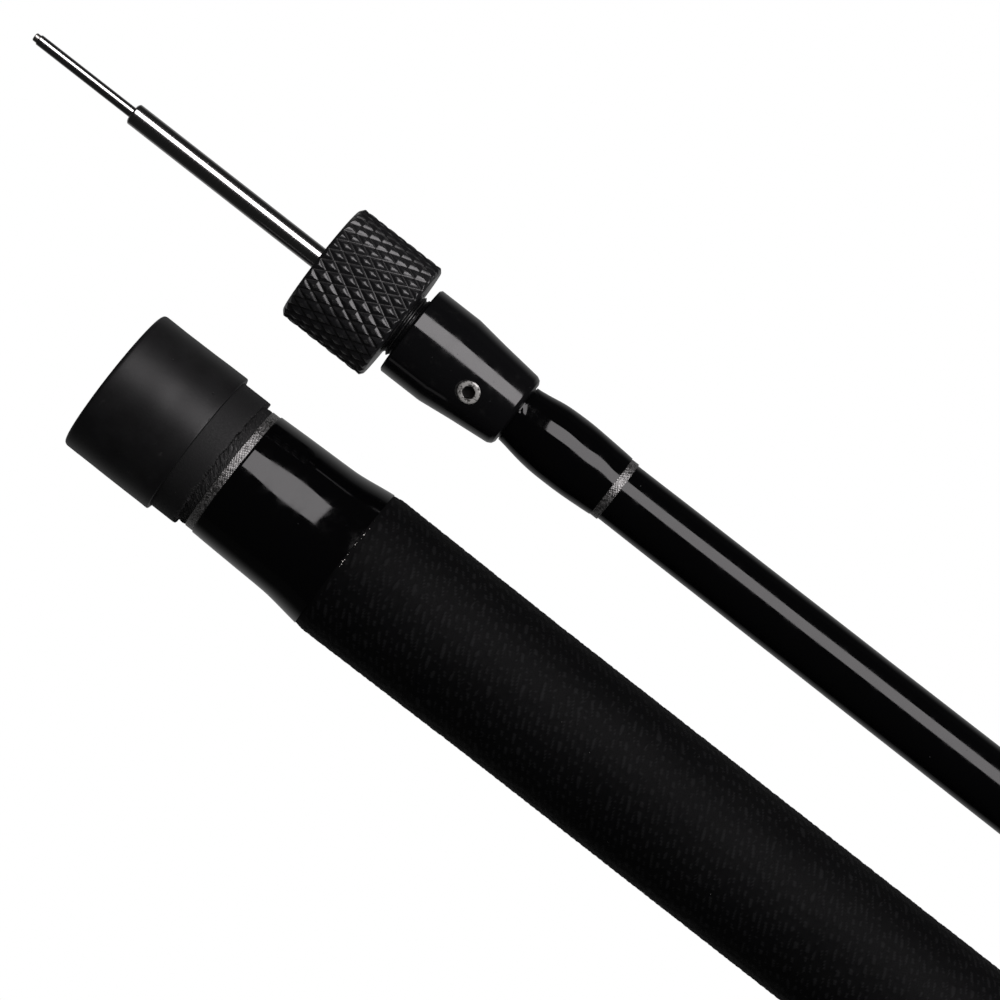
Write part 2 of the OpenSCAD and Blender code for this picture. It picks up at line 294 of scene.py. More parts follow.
class Finish:
    """A Principled material, with short calls for the nodes that feed it."""

    def __init__(self, name, colour, roughness, metallic=0.0, ior=1.5):
        self.material = bpy.data.materials.new(name)
        self.material.use_nodes = True
        self.nodes = self.material.node_tree.nodes
        self.links = self.material.node_tree.links
        self.shader = self.nodes["Principled BSDF"]
        self.set("Base Color", (*colour, 1))
        self.set("Roughness", roughness)
        self.set("Metallic", metallic)
        self.set("IOR", ior)

    def set(self, socket, value):
        """Feeds one socket of the shader with a number, a colour or another node's output."""
        self.feed(self.shader.inputs[socket], value)

    def feed(self, socket, value):
        if isinstance(value, bpy.types.NodeSocket):
            self.links.new(value, socket)
        elif value is not None:
            socket.default_value = value

    def add(self, kind):
        return self.nodes.new("ShaderNode" + kind)

    def place(self):
        """Position in mm, fixed to the piece."""
        node = self.add("VectorMath")
        node.operation = "SCALE"
        self.feed(node.inputs["Vector"], self.add("TexCoord").outputs["Object"])
        node.inputs["Scale"].default_value = 1 / MM
        return node.outputs["Vector"]

    def split(self, vector):
        node = self.add("SeparateXYZ")
        self.feed(node.inputs[0], vector)
        return node.outputs

    def join(self, x, y, z):
        node = self.add("CombineXYZ")
        for socket, value in zip(node.inputs, (x, y, z)):
            self.feed(socket, value)
        return node.outputs[0]

    def math(self, operation, a, b=None):
        node = self.add("Math")
        node.operation = operation
        for socket, value in zip(node.inputs, (a, b)):
            self.feed(socket, value)
        return node.outputs[0]

    def scaled(self, vector, scale):
        node = self.add("VectorMath")
        node.operation = "MULTIPLY"
        self.feed(node.inputs[0], vector)
        node.inputs[1].default_value = scale
        return node.outputs["Vector"]

    def unrolled(self, y, radius):
        """(x, distance round the axis) in mm for a piece turned about X."""
        parts = self.split(self.place())
        across = self.math("SUBTRACT", parts[1], y)
        angle = self.math("ARCTAN2", across, parts[2])
        return parts[0], self.math("MULTIPLY", angle, radius)

    def flat(self, y, radius, along=1.0, around=1.0):
        """Unrolled place with its two directions scaled, so that a noise there can be drawn out."""
        x, arc = self.unrolled(y, radius)
        return self.join(self.math("MULTIPLY", x, along), self.math("MULTIPLY", arc, around), 0.0)

    def noise(self, vector, size, detail=2.0, roughness=0.5):
        """Noise from 0 to 1 with features of about that size in mm."""
        node = self.add("TexNoise")
        self.feed(node.inputs["Vector"], vector)
        node.inputs["Scale"].default_value = 1 / size
        node.inputs["Detail"].default_value = detail
        node.inputs["Roughness"].default_value = roughness
        return node.outputs["Fac"]

    def cells(self, vector, size, feature="F1"):
        """Voronoi cells of about that size in mm: (distance, one random colour per cell)."""
        node = self.add("TexVoronoi")
        node.feature = feature
        self.feed(node.inputs["Vector"], vector)
        node.inputs["Scale"].default_value = 1 / size
        colour = node.outputs["Color"] if feature == "F1" else None
        return node.outputs["Distance"], colour

    def between(self, value, low, high, to_low=0.0, to_high=1.0):
        """Value mapped from low..high to to_low..to_high, clamped and eased."""
        node = self.add("MapRange")
        node.interpolation_type = "SMOOTHSTEP"
        self.feed(node.inputs["Value"], value)
        node.inputs["From Min"].default_value = low
        node.inputs["From Max"].default_value = high
        node.inputs["To Min"].default_value = to_low
        node.inputs["To Max"].default_value = to_high
        return node.outputs["Result"]

    def relief(self):
        """Height of the mesh's own relief, 0 in the grooves and 1 on the tops."""
        node = self.add("Attribute")
        node.attribute_name = "relief"
        return node.outputs["Fac"]

    def blend(self, factor, a, b):
        """Colour mixed from a to b."""
        node = self.add("Mix")
        node.data_type = "RGBA"
        self.feed(node.inputs[0], factor)
        for socket, value in ((node.inputs[6], a), (node.inputs[7], b)):
            self.feed(socket, value if isinstance(value, bpy.types.NodeSocket) else (*value, 1))
        return node.outputs[2]

    def bump(self, height, depth, after=None):
        """Adds relief of that depth in mm to the shading."""
        node = self.add("Bump")
        self.feed(node.inputs["Height"], height)
        node.inputs["Distance"].default_value = depth * MM
        if after:
            self.feed(node.inputs["Normal"], after)
        return node.outputs["Normal"]

    def specks(self, vector, size, share, radius):
        """Mask of small separate specks: a share of the cells holds one, radius in cell sizes."""
        distance, colour = self.cells(vector, size)
        dot = self.between(distance, radius, radius * 0.6)
        chosen = self.math("LESS_THAN", self.split(colour)[0], share)
        return self.math("MULTIPLY", dot, chosen)

    def scratches(self, vector, size, stretch, width, share):
        """Mask of fine broken scratches that run mostly along the stretched direction."""
        distance, _ = self.cells(self.scaled(vector, stretch), size, "DISTANCE_TO_EDGE")
        line = self.between(distance, width, 0.0)
        patch = self.between(self.noise(vector, size * 0.8, 2.0), 1 - share, 1 - share + 0.06)
        return self.math("MULTIPLY", line, patch)


# ---------------------------------------------------------------- materials

def gloss_black(name, y, wave=0.012, roughness=0.05, scratch=0.35):
    """Deep black gloss, such as epoxy over thread or lacquer: slow waves, fine scratches, dust."""
    f = Finish(name, (0.0012, 0.0012, 0.0014), roughness, ior=1.46)
    spot = f.place()
    marks = f.scratches(f.flat(y, 10.0), 1.2, (0.5, 1.0, 1.0), 0.010, scratch * 0.55)
    dust = f.specks(spot, 1.6, 0.03, 0.06)
    both = f.math("MAXIMUM", f.math("MULTIPLY", marks, 0.16), dust)
    f.set("Base Color", f.blend(both, (0.0012, 0.0012, 0.0014), (0.10, 0.10, 0.095)))
    smear = f.between(f.noise(spot, 3.0, 4.0, 0.6), 0.35, 0.7, roughness, roughness + 0.09)
    f.set("Roughness", f.math("ADD", smear, f.math("MULTIPLY", both, 0.3)))
    slow = f.bump(f.noise(f.scaled(spot, (0.6, 1.0, 1.0)), 9.0, 1.0), wave * 3)
    pits = f.bump(f.specks(spot, 1.1, 0.05, 0.09), -0.01, slow)
    f.set("Normal", pits)
    return f.material


def black_metal(name, y, roughness, wear=0.5):
    """Anodised or lacquered black metal with turning lines, pits and rubbed, slightly paler patches."""
    dark = (0.004, 0.004, 0.0045)
    f = Finish(name, dark, roughness, ior=1.6)
    spot = f.place()
    lines = f.noise(f.flat(y, 10.0, 14.0, 0.25), 2.0, 3.0)
    pits = f.specks(spot, 0.9, 0.12, 0.10)
    rub = f.between(f.noise(spot, 2.4, 4.0, 0.6), 0.58, 0.72)
    f.set("Base Color", f.blend(f.math("MULTIPLY", rub, 0.25 * wear), dark, (0.05, 0.049, 0.046)))
    f.set("Roughness", f.between(f.noise(spot, 3.0, 3.0), 0.3, 0.8, roughness - 0.03, roughness + 0.08))
    f.set("Normal", f.bump(pits, -0.02, f.bump(lines, 0.0015)))
    return f.material


def knurled_metal():
    """Satin black oxide on the knurls: darker and rougher towards the bottom of the grooves, the tops worn
    towards bare steel.
    """
    f = Finish("knurled_black", (0.012, 0.012, 0.013), 0.32, ior=1.7)
    spot = f.place()
    height = f.relief()
    grain = f.noise(spot, 0.35, 4.0, 0.65)
    patch = f.math("MULTIPLY", f.math("SUBTRACT", f.noise(spot, 3.5, 2.0), 0.5), 0.25)
    tops = f.between(f.math("ADD", height, patch), 0.93, 1.03)
    worn = f.math("MULTIPLY", tops, f.between(grain, 0.35, 0.65, 0.25, 1.0))
    # Darker and rougher towards the bottom of the grooves.
    in_groove = f.between(height, 0.22, 0.02)
    dark = f.blend(in_groove, (0.008, 0.008, 0.009), (0.004, 0.0038, 0.0035))
    f.set("Base Color", f.blend(f.math("MULTIPLY", worn, 0.8), dark, (0.075, 0.074, 0.073)))
    dull = f.math("MULTIPLY", in_groove, 0.3)
    f.set("Roughness", f.math("ADD", f.between(grain, 0.2, 0.8, 0.24, 0.36), dull))
    f.set("Normal", f.bump(grain, 0.006))
    return f.material


def thread_metal(name, y):
    """Black oxide on a cut thread, with the crests painted lighter: partly rubbed wear, partly a painted
    highlight of the glints on them.
    """
    f = Finish(name, (0.01, 0.01, 0.011), 0.28, ior=1.7)
    spot = f.place()
    cut = f.noise(f.flat(y, 7.0, 4.0, 0.3), 0.5, 3.0)
    # Lighter crests: partly wear, partly a painted highlight where light glints on the thread.
    crest = f.math("MULTIPLY", f.between(f.relief(), 0.8, 1.0), f.between(cut, 0.3, 0.7))
    rubbed = f.math("MULTIPLY", crest, 0.6)
    f.set("Base Color", f.blend(rubbed, (0.008, 0.008, 0.009), (0.07, 0.069, 0.066)))
    f.set("Roughness", f.between(f.noise(spot, 0.5, 3.0), 0.3, 0.7, 0.22, 0.38))
    f.set("Normal", f.bump(cut, 0.01))
    return f.material


def cap_rubber():
    """Matt moulded rubber of the butt cap: fine grain, shallow pits, grey scuffs and dust."""
    f = Finish("cap_rubber", (0.018, 0.0175, 0.0185), 0.55)
    spot = f.place()
    grain = f.noise(spot, 0.25, 5.0, 0.7)
    cloudy = f.noise(spot, 5.0, 3.0)
    drawn = f.noise(f.scaled(spot, (1.0, 0.4, 1.0)), 1.6, 5.0, 0.7)
    scuff = f.math("MULTIPLY", f.between(drawn, 0.6, 0.75), f.between(cloudy, 0.5, 0.7))
    dust = f.specks(spot, 1.2, 0.06, 0.05)
    tint = f.blend(f.between(cloudy, 0.3, 0.7), (0.0055, 0.0053, 0.0058), (0.0085, 0.0083, 0.0090))
    marked = f.blend(f.math("MULTIPLY", scuff, 0.35), tint, (0.06, 0.059, 0.058))
    f.set("Base Color", f.blend(dust, marked, (0.14, 0.135, 0.13)))
    f.set("Roughness", f.between(grain, 0.2, 0.8, 0.38, 0.52))
    f.set("Specular IOR Level", 0.48)
    pits = f.specks(spot, 2.6, 0.12, 0.11)
    f.set("Normal", f.bump(pits, -0.08, f.bump(grain, 0.012)))
    return f.material


def sleeve_rubber():
    """Soft dull rubber of the sleeve and its glue, torn and dusty towards the edge."""
    f = Finish("sleeve_rubber", (0.006, 0.006, 0.0065), 0.7)
    spot = f.place()
    grain = f.noise(spot, 0.3, 5.0, 0.7)
    along = f.split(spot)[0]
    edge = f.between(along, 25.6, 28.0)
    flecks = f.math("MULTIPLY", f.between(f.noise(spot, 0.32, 4.0, 0.7), 0.58, 0.68), edge)
    dust = f.specks(spot, 0.9, 0.08, 0.07)
    lit = f.math("MAXIMUM", f.math("MULTIPLY", flecks, 0.7), dust)
    f.set("Base Color", f.blend(lit, (0.006, 0.006, 0.0065), (0.13, 0.125, 0.12)))
    f.set("Roughness", f.between(grain, 0.2, 0.8, 0.55, 0.8))
    f.set("Normal", f.bump(grain, 0.05))
    return f.material


def grip_rubber():
    """Matt grip rubber: the ground between the raised strokes is painted darker than the strokes, as
    painted shade in the grooves, with dust caught between.
    """
    f = Finish("grip_rubber", (0.008, 0.008, 0.0085), 0.62)
    spot = f.place()
    height = f.relief()
    grain = f.noise(spot, 0.22, 4.0, 0.7)
    cloudy = f.noise(f.scaled(spot, (0.5, 1.0, 1.0)), 12.0, 3.0)
    top = f.math("MULTIPLY", f.between(height, 0.35, 0.95), f.between(grain, 0.25, 0.7, 0.55, 1.0))
    # Painted shade: the ground between the strokes is much darker than the strokes' own rubber tone.
    ground = f.blend(f.between(cloudy, 0.3, 0.7), (0.0016, 0.0016, 0.0019), (0.0026, 0.0026, 0.0029))
    raised = f.blend(f.between(cloudy, 0.3, 0.7), (0.0075, 0.0075, 0.0081), (0.0112, 0.0112, 0.0120))
    colour = f.blend(top, ground, raised)
    dust = f.specks(spot, 2.0, 0.05, 0.04)
    f.set("Base Color", f.blend(dust, colour, (0.16, 0.155, 0.15)))
    f.set("Roughness", f.between(grain, 0.2, 0.8, 0.58, 0.75))
    f.set("Specular IOR Level", 0.10)
    f.set("Normal", f.bump(grain, 0.02))
    return f.material


def trim_foil(name, y, radius):
    """Clear-coated silver thread: crossing strands, each strand a little brighter or duller."""
    f = Finish(name, (0.5, 0.49, 0.48), 0.3, metallic=0.85)
    strand, colour = f.cells(f.flat(y, radius), 0.33)
    tone = f.split(colour)[0]
    groove = f.between(f.relief(), 0.0, 0.55)
    bright = f.blend(tone, (0.09, 0.088, 0.086), (0.44, 0.435, 0.43))
    f.set("Base Color", f.blend(groove, (0.03, 0.03, 0.03), bright))
    f.set("Roughness", f.between(tone, 0.0, 1.0, 0.18, 0.42))
    f.set("Coat Weight", 0.6)
    f.set("Coat Roughness", 0.06)
    f.set("Normal", f.bump(strand, 0.03))
    return f.material


def polished_steel(name, y):
    """Polished steel rod: faint grinding lines, fine scratches, a few dull spots."""
    clean = (0.62, 0.615, 0.61)
    f = Finish(name, clean, 0.12, metallic=1.0)
    spot = f.place()
    rings = f.noise(f.flat(y, 2.0, 9.0, 0.3), 1.5, 3.0)
    marks = f.scratches(f.flat(y, 2.0, 1.0, 3.0), 2.4, (0.3, 1.0, 1.0), 0.02, 0.4)
    dull = f.specks(spot, 1.3, 0.12, 0.12)
    both = f.math("MAXIMUM", f.math("MULTIPLY", marks, 0.5), dull)
    f.set("Base Color", f.blend(both, clean, (0.30, 0.295, 0.29)))
    ground = f.between(rings, 0.3, 0.7, 0.13, 0.21)
    f.set("Roughness", f.math("ADD", ground, f.math("MULTIPLY", both, 0.25)))
    f.set("Normal", f.bump(rings, 0.0012))
    return f.material


def worn_steel():
    """Grub screw: black oxide rubbed through to bright steel on the rim."""
    f = Finish("worn_steel", (0.45, 0.44, 0.42), 0.45, metallic=0.45)
    spot = f.place()
    patch = f.noise(spot, 0.9, 5.0, 0.65)
    oxide = f.between(patch, 0.5, 0.6)
    rim = f.blend(oxide, (0.60, 0.59, 0.57), (0.06, 0.057, 0.053))
    f.set("Base Color", f.blend(f.relief(), (0.012, 0.0115, 0.011), rim))
    f.set("Roughness", f.between(patch, 0.4, 0.65, 0.35, 0.6))
    f.set("Normal", f.bump(f.noise(spot, 0.25, 4.0, 0.7), 0.02))
    return f.material


def brushed(name, colour, roughness, y):
    """Turned bright metal, such as brass or a spring-steel collet."""
    f = Finish(name, colour, roughness, metallic=1.0)
    spot = f.place()
    rings = f.noise(f.flat(y, 5.0, 10.0, 0.3), 1.0, 3.0)
    stain = f.between(f.noise(spot, 1.8, 4.0, 0.6), 0.45, 0.7)
    darker = tuple(c * 0.45 for c in colour)
    f.set("Base Color", f.blend(f.math("MULTIPLY", stain, 0.6), colour, darker))
    f.set("Roughness", f.between(rings, 0.3, 0.7, roughness - 0.05, roughness + 0.12))
    f.set("Normal", f.bump(rings, 0.003))
    return f.material


def magnet_nickel():
    """Nickel-plated magnet: bright plating with a slightly pebbled skin and rubbed spots."""
    f = Finish("magnet_nickel", (0.60, 0.58, 0.55), 0.24, metallic=1.0)
    spot = f.place()
    pebble = f.noise(spot, 0.12, 3.0, 0.6)
    rub = f.between(f.noise(spot, 0.6, 4.0), 0.5, 0.7)
    f.set("Base Color", f.blend(rub, (0.62, 0.60, 0.57), (0.40, 0.39, 0.375)))
    f.set("Roughness", f.between(pebble, 0.2, 0.8, 0.2, 0.4))
    f.set("Normal", f.bump(pebble, 0.004))
    return f.material


def fibre_tube():
    """Plain woven carbon fibre of the handle's tube under thin clear lacquer."""
    f = Finish("fibre_tube", (0.01, 0.01, 0.011), 0.3)
    along, around = f.unrolled(0.0, TUBE_R)
    wave = TURN / 3.0
    warp = f.math("SINE", f.math("MULTIPLY", f.math("ADD", along, around), wave))
    weft = f.math("SINE", f.math("MULTIPLY", f.math("SUBTRACT", along, around), wave))
    weave = f.between(f.math("MULTIPLY", warp, weft), -0.4, 0.4)
    tow = f.noise(f.flat(0.0, TUBE_R, 6.0), 0.8, 2.0)
    f.set("Base Color", f.blend(weave, (0.005, 0.005, 0.0055), (0.02, 0.02, 0.021)))
    f.set("Roughness", f.between(tow, 0.3, 0.7, 0.25, 0.42))
    f.set("Coat Weight", 0.5)
    f.set("Coat Roughness", 0.08)
    f.set("Normal", f.bump(weave, 0.03))
    return f.material


def foam():
    """Closed-cell foam under the grip's sleeve."""
    f = Finish("foam", (0.03, 0.03, 0.032), 0.85)
    distance, colour = f.cells(f.place(), 0.5)
    f.set("Base Color", f.blend(f.split(colour)[0], (0.02, 0.02, 0.022), (0.045, 0.045, 0.047)))
    f.set("Roughness", f.between(distance, 0.1, 0.6, 0.75, 0.95))
    f.set("Normal", f.bump(distance, 0.15))
    return f.material


# ---------------------------------------------------------------- handle

def make_butt_cap(material):
    """Rubber cap: rounded rim at the butt, thin lip at the mouth, hollow over the sleeve."""
    x0, x1, r = span("butt_cap")
    floor_x = x0 + 4.0
    inner = 15.3
    points = [(x0, 0), (x0, r - 0.15), (x1, r), (x1, inner), (floor_x, inner), (floor_x, 0)]
    outline = dense(rounded(points, [0, 1.0, 0.35, 0.2, 0, 0], 6), 0.8)
    uneven = ripple(3, (6, 30), (0, 5))

    def shape(x, radius, a):
        outside = ease((radius - inner - 0.3) / 0.6)
        dent = 0.05 * bell(x, 13.0, 2.2) * bell(a, 0.35, 0.16)
        return x, radius - outside * (0.03 * (1 - uneven(x, a)) + dent), np.ones_like(x)

    put("butt_cap", turned("butt_cap_rubber", outline, 0, 160, shape), material)


def make_cap_sleeve(material):
    """Sleeve under the cap, torn along its open edge, with one shred standing out at the side."""
    x0, x1, r = span("cap_sleeve")
    points = [(x0, TUBE_R), (x0, r), (20.5, r), (x1, r), (x1, TUBE_R)]
    outline = dense(rounded(points, [0, 0, 0, 0.3, 0], 3), 0.25, 20.0, 30.0)
    coarse = ripple(11, (20, 60), (3, 40), 20)
    fine = ripple(12, (3, 9), (60, 200), 30)

    def shape(x, radius, a):
        near = ease((x - x1 + 1.4) / 1.4)
        torn = 0.16 * coarse(0 * x, a) + 0.16 * fine(0 * x, a) - 0.08
        shred = 0.75 * bell(a, math.radians(88), 0.018)
        skin = ease((radius - TUBE_R) / (r - TUBE_R))
        swell = 0.05 * fine(x * 3, a) * near * skin
        return x + near * (torn + shred), radius + np.minimum(swell, 0.0), np.ones_like(x)

    put("cap_sleeve", turned("cap_sleeve_rubber", outline, 0, 720, shape), material)


def make_glue_residue(material):
    """Dried glue and rubber crumbs on the bare tube between the sleeve and the trim band."""
    _, sleeve_end, _ = span("cap_sleeve")
    band_start, _, _ = span("butt_trim_band")
    x0 = sleeve_end - 0.6
    x1 = band_start + 0.1
    under = TUBE_R - 0.2
    skin = TUBE_R + 0.02
    outline = dense([(x0, under), (x0, skin), (x1, skin), (x1, under)], 0.12)
    lumps = ripple(21, (0.8, 2.4), (20, 90), 30)
    crumbs = ripple(22, (0.4, 0.9), (90, 220), 30)

    def shape(x, radius, a):
        top = ease((radius - TUBE_R + 0.1) / 0.1)
        height = 0.11 * lumps(x, a) + 0.09 * crumbs(x, a)
        fade = ease((x1 - x) / 0.5)
        return x, radius + top * fade * np.clip(height + 0.06, -0.05, 0.26), np.ones_like(x)

    mesh = turned("glue_residue", outline, 0, 900, shape, 60)
    put("handle_tube", mesh, material, "glue_residue", replace=False)


def woven_band(name, x0, x1, inner, outer0, outer1, y, strands):
    """Trim band of crossing metallic strands: its outside is a fine raised weave."""
    depth = 0.09
    pitch = (x1 - x0) / 4
    top = graded(x0, x1, 28, lambda u: outer0 + (outer1 - outer0) * u)
    outline = [(x0, inner)] + top + [(x1, inner)]

    def shape(x, r, a):
        u = (x - x0) / pitch
        v = strands * a / TURN
        over = np.abs(np.sin(math.pi * (u + v)))
        under = np.abs(np.sin(math.pi * (u - v)))
        height = np.maximum(over, under * 0.85) ** 0.8 * np.minimum(over + 0.35, under + 0.35)
        height = np.clip(height / 1.1, 0, 1)
        outside = r > inner + 0.05
        edge = 0.5 * (bell(x, x0, 0.08) + bell(x, x1, 0.08))
        woven = r - depth * (1 - height) - 0.1 * edge
        return x, np.where(outside, woven, r), np.where(outside, height, 1)

    return turned(name, outline, y, strands * 6, shape, 60)


def make_trim_bands():
    """The four metallic trim bands."""
    large = trim_foil("trim_foil_handle", 0.0, TUBE_R)
    small = trim_foil("trim_foil_tip", TIP_Y, SHAFT_TIP_R)
    for node in ("butt_trim_band", "front_trim_band"):
        x0, x1, r = span(node)
        put(node, woven_band(node + "_weave", x0, x1, TUBE_R, r, r, 0.0, 180), large)
    for node in ("tip_trim_band", "tail_trim_band"):
        x0, x1, r = span(node)
        start = r - SHAFT_TAPER / 2 * (x1 - x0)
        mesh = woven_band(node + "_weave", x0, x1, start - 0.3, start, r, TIP_Y, 84)
        put(node, mesh, small)


def ramp_r(d):
    """Radius of the handle's end windings at a distance from the end next to the trim band."""
    return TUBE_R + 0.6 + 0.026 * d + 1.0 * float(ease((d - 18) / 12))


def make_butt_wrap(material):
    """Epoxy winding that ramps up to the grip, a little flat along its upper side."""
    x0, x1, _ = span("butt_wrap")
    top = graded(x0, x1, 90, lambda u: ramp_r((x1 - x0) * u))
    start_r = top[0][1]
    outline = [(x0, TUBE_R), (x0, start_r - 0.25), (x0 + 0.12, start_r - 0.06)] + top[1:] + [(x1, TUBE_R)]
    slow = ripple(31, (9, 26), (1, 6))

    def shape(x, r, a):
        outside = ease((r - TUBE_R) / 0.4)
        upper = math.radians(12)
        flat = 0.28 * bell(a, upper, math.radians(17)) * bell(x, 43.0, 7.0)
        start = 0.06 * bell(x, 32.0, 3.5) * (1 - bell(a, upper, math.radians(11)))
        return x, r - outside * (flat + start + 0.02 * (1 - slow(x, a))), np.ones_like(x)

    put("butt_wrap", turned("butt_wrap_epoxy", outline, 0, 192, shape), material)


def make_front_wrap(material):
    """Epoxy winding at the grip's front end."""
    x0, x1, r = span("front_wrap")
    top = graded(x0, x1, 70, lambda u: min(ramp_r((x1 - x0) * (1 - u)), r))
    outline = [(x0, TUBE_R)] + top + [(x1, TUBE_R)]
    slow = ripple(32, (9, 26), (1, 6))

    def shape(x, radius, a):
        outside = ease((radius - TUBE_R) / 0.4)
        return x, radius - outside * 0.03 * (1 - slow(x, a)), np.ones_like(x)

    put("front_wrap", turned("front_wrap_epoxy", outline, 0, 160, shape), material)


def make_seam_specks(material):
    """Bright crumbs along the line where the winding meets the grip's sleeve."""
    seam_x, _, _ = span("grip_sleeve")
    radius = ramp_r(seam_x - span("butt_wrap")[0])
    rng = random.Random(5)
    bm = bmesh.new()
    # Degrees round the handle, and the size in mm.
    spots = [(-4.7, 0.10), (-2.5, 0.13), (-1.0, 0.13), (1.5, 0.10), (5.4, 0.14), (7.5, 0.07), (12.5, 0.06),
             (14.3, 0.08), (16.0, 0.06), (20.5, 0.06), (23.2, 0.14), (25.3, 0.09), (30.3, 0.10),
             (38.0, 0.08)]
    for degrees, size in spots:
        a = math.radians(degrees + rng.uniform(-0.4, 0.4))
        x = seam_x + 0.35 + rng.uniform(-0.15, 0.15)
        place = Matrix.Translation(Vector((x, radius * math.sin(a), radius * math.cos(a))) * MM)
        stretch = Matrix.Diagonal((size * MM, size * 1.6 * MM, size * 0.7 * MM, 1))
        made = bmesh.ops.create_icosphere(bm, subdivisions=2, radius=1.0, matrix=place @ stretch)
        for v in made["verts"]:
            v.co += Vector([rng.uniform(-0.25, 0.25) * size * MM for _ in range(3)])
    mesh = bpy.data.meshes.new("seam_specks")
    bm.to_mesh(mesh)
    bm.free()
    finish_mesh(mesh, 60)
    put("grip_sleeve", mesh, material, "seam_specks", replace=False)


def grip_profile(x0, x1, r):
    """Outer radius of the grip's sleeve: tucked-in edge, slightly larger start, then straight."""
    straight = r - 0.36
    full = x0 + 2.1
    return [(x0, r - 0.26), (full, r), (full + 20, straight + 0.18), (full + 40, straight), (x1, straight)]


def make_grip_sleeve(material):
    """Rubber grip covered in rows of short raised strokes, which wind round it at a slope."""
    x0, x1, r = span("grip_sleeve")
    inner = TUBE_R + 1.0
    profile = grip_profile(x0, x1, r)
    outline = [(x0, inner)] + dense(profile, 0.33, closed=False) + [(x1, inner)]
    slope_turns = 34
    pitch = 1.453
    stroke = 2.7
    depth = 0.13
    uneven = ripple(41, (2.0, 7.0), (4, 30), 24)

    def shape(x, radius, a):
        wobble = 0.20 * uneven(x, a)
        u = x / pitch + slope_turns * a / TURN + wobble
        row = np.floor(u + 0.5)
        rib = np.cos(math.pi * (u - row)) ** 2
        around = r * a / stroke + row * 0.5 + 1.3 * np.sin(row * 12.9898) + 0.4 * uneven(x * 0.7, a)
        gap = np.abs(around - np.floor(around) - 0.5) * 2
        height = rib * (1 - 0.95 * ease((gap - 0.42) / 0.4))
        outside = radius > inner + 0.3
        edge = ease((x - x0) / 0.8) * ease((x1 - x) / 0.8)
        sunk = depth * (1 - height * edge)
        return x, np.where(outside, radius - sunk, radius), np.where(outside, height * edge, 1)

    mesh = turned("grip_sleeve_rubber", outline, 0, 160, shape, 70)
    put("grip_sleeve", mesh, material)


def thread_height(x, a, pitch):
    """Height, 0 to 1, of a right-handed 60 degree thread with small flats."""
    u = x / pitch + a / TURN
    tooth = 1 - 2 * np.abs(u - np.floor(u) - 0.5)
    return np.clip((tooth - 0.12) / 0.74, 0, 1)


def make_joint_boss(material):
    """Handle's front end: plain collar, and the thread for the union nut."""
    x0, x1, r = span("joint_boss")
    collar_x = x1 - 18
    thread_x = x1 - 10
    crest = BOSS_THREAD_R
    depth = 0.9
    bore = 8.0
    points = [(x0, bore), (x0, TUBE_BORE_R), (collar_x, TUBE_BORE_R), (collar_x, r), (thread_x, r),
              (thread_x, crest), (x1 - 1, crest), (x1, crest - 1), (x1, 0), (x1 - 4, 0), (x1 - 4, bore)]
    radii = [0, 0.5, 0, 0.25, 0.5, 0, 0.1, 0.1, 0, 0, 0]
    outline = dense(rounded(points, radii), 0.1, thread_x - 0.05, x1)

    def shape(x, radius, a):
        cut = ease((x - thread_x - 0.5) / 0.9)
        height = thread_height(x, a, JOINT_PITCH)
        on_thread = (radius > crest - depth) & (x > thread_x) & (x < x1 - 0.02)
        r_new = np.minimum(radius, crest - depth * (1 - height) * cut)
        return x, np.where(on_thread, r_new, radius), np.where(on_thread, height, 0.7)

    put("joint_boss", turned("joint_boss_metal", outline, 0, 144, shape), material)


# ---------------------------------------------------------------- tip section, back half

def shaft_r(x):
    """Radius of the tapered shaft at x."""
    band_x = span("tip_trim_band")[0]
    return SHAFT_TIP_R + SHAFT_TAPER / 2 * (x - band_x)


def make_shaft(material):
    """Lacquered fibre shaft, with the turned-down nose under the front winding."""
    x0, x1, _ = span("shaft_tube")
    step_x = span("tip_trim_band")[0]
    spigot_x = x1 - 26
    points = [(x0, SHAFT_BORE_R), (x0, NOSE_R), (step_x, NOSE_R), (step_x, shaft_r(step_x)),
              (x1, shaft_r(x1)), (x1, 5.6), (spigot_x, 5.6), (spigot_x, SHAFT_BORE_R)]
    outline = dense(points, 3.0, step_x, x1)
    slow = ripple(51, (18, 60), (0, 4))

    def shape(x, r, a):
        outside = ease((r - NOSE_R) / 0.2)
        return x, r - outside * 0.012 * (1 - slow(x, a)), np.ones_like(x)

    put("shaft_tube", turned("shaft_lacquer", outline, TIP_Y, 192, shape), material)


def make_tail_wrap(material):
    """Epoxy winding over the shaft's tail."""
    x0, x1, _ = span("tail_wrap")
    top = graded(x0, x1, 60, lambda u: shaft_r(x0 + (x1 - x0) * u) + 0.3 + 0.9 * float(ease(u)))
    outline = [(x0, shaft_r(x0) - 0.1)] + top + [(x1, shaft_r(x1) - 0.1)]
    slow = ripple(52, (7, 20), (1, 5))

    def shape(x, r, a):
        outside = ease((r - shaft_r(x)) / 0.2)
        return x, r - outside * 0.02 * (1 - slow(x, a)), np.ones_like(x)

    put("tail_wrap", turned("tail_wrap_epoxy", outline, TIP_Y, 128, shape), material)


def make_tail_flange(material):
    """Metal end of the tip section: hub and the flange that holds the union nut."""
    x0, x1, r = span("tail_flange")
    hub_x = x1 - 28
    flange_x = x1 - 4
    points = [(x0, 4), (x0, 5.6), (hub_x, 5.6), (hub_x, 9), (flange_x, 9), (flange_x, r),
              (x1, r), (x1, 0), (flange_x, 0), (flange_x, 4)]
    radii = [0, 0.3, 0, 0.6, 0.3, 0.3, 0.5, 0, 0, 0]
    outline = rounded(points, radii)
    put("tail_flange", turned("tail_flange_metal", outline, TIP_Y, 128), material)


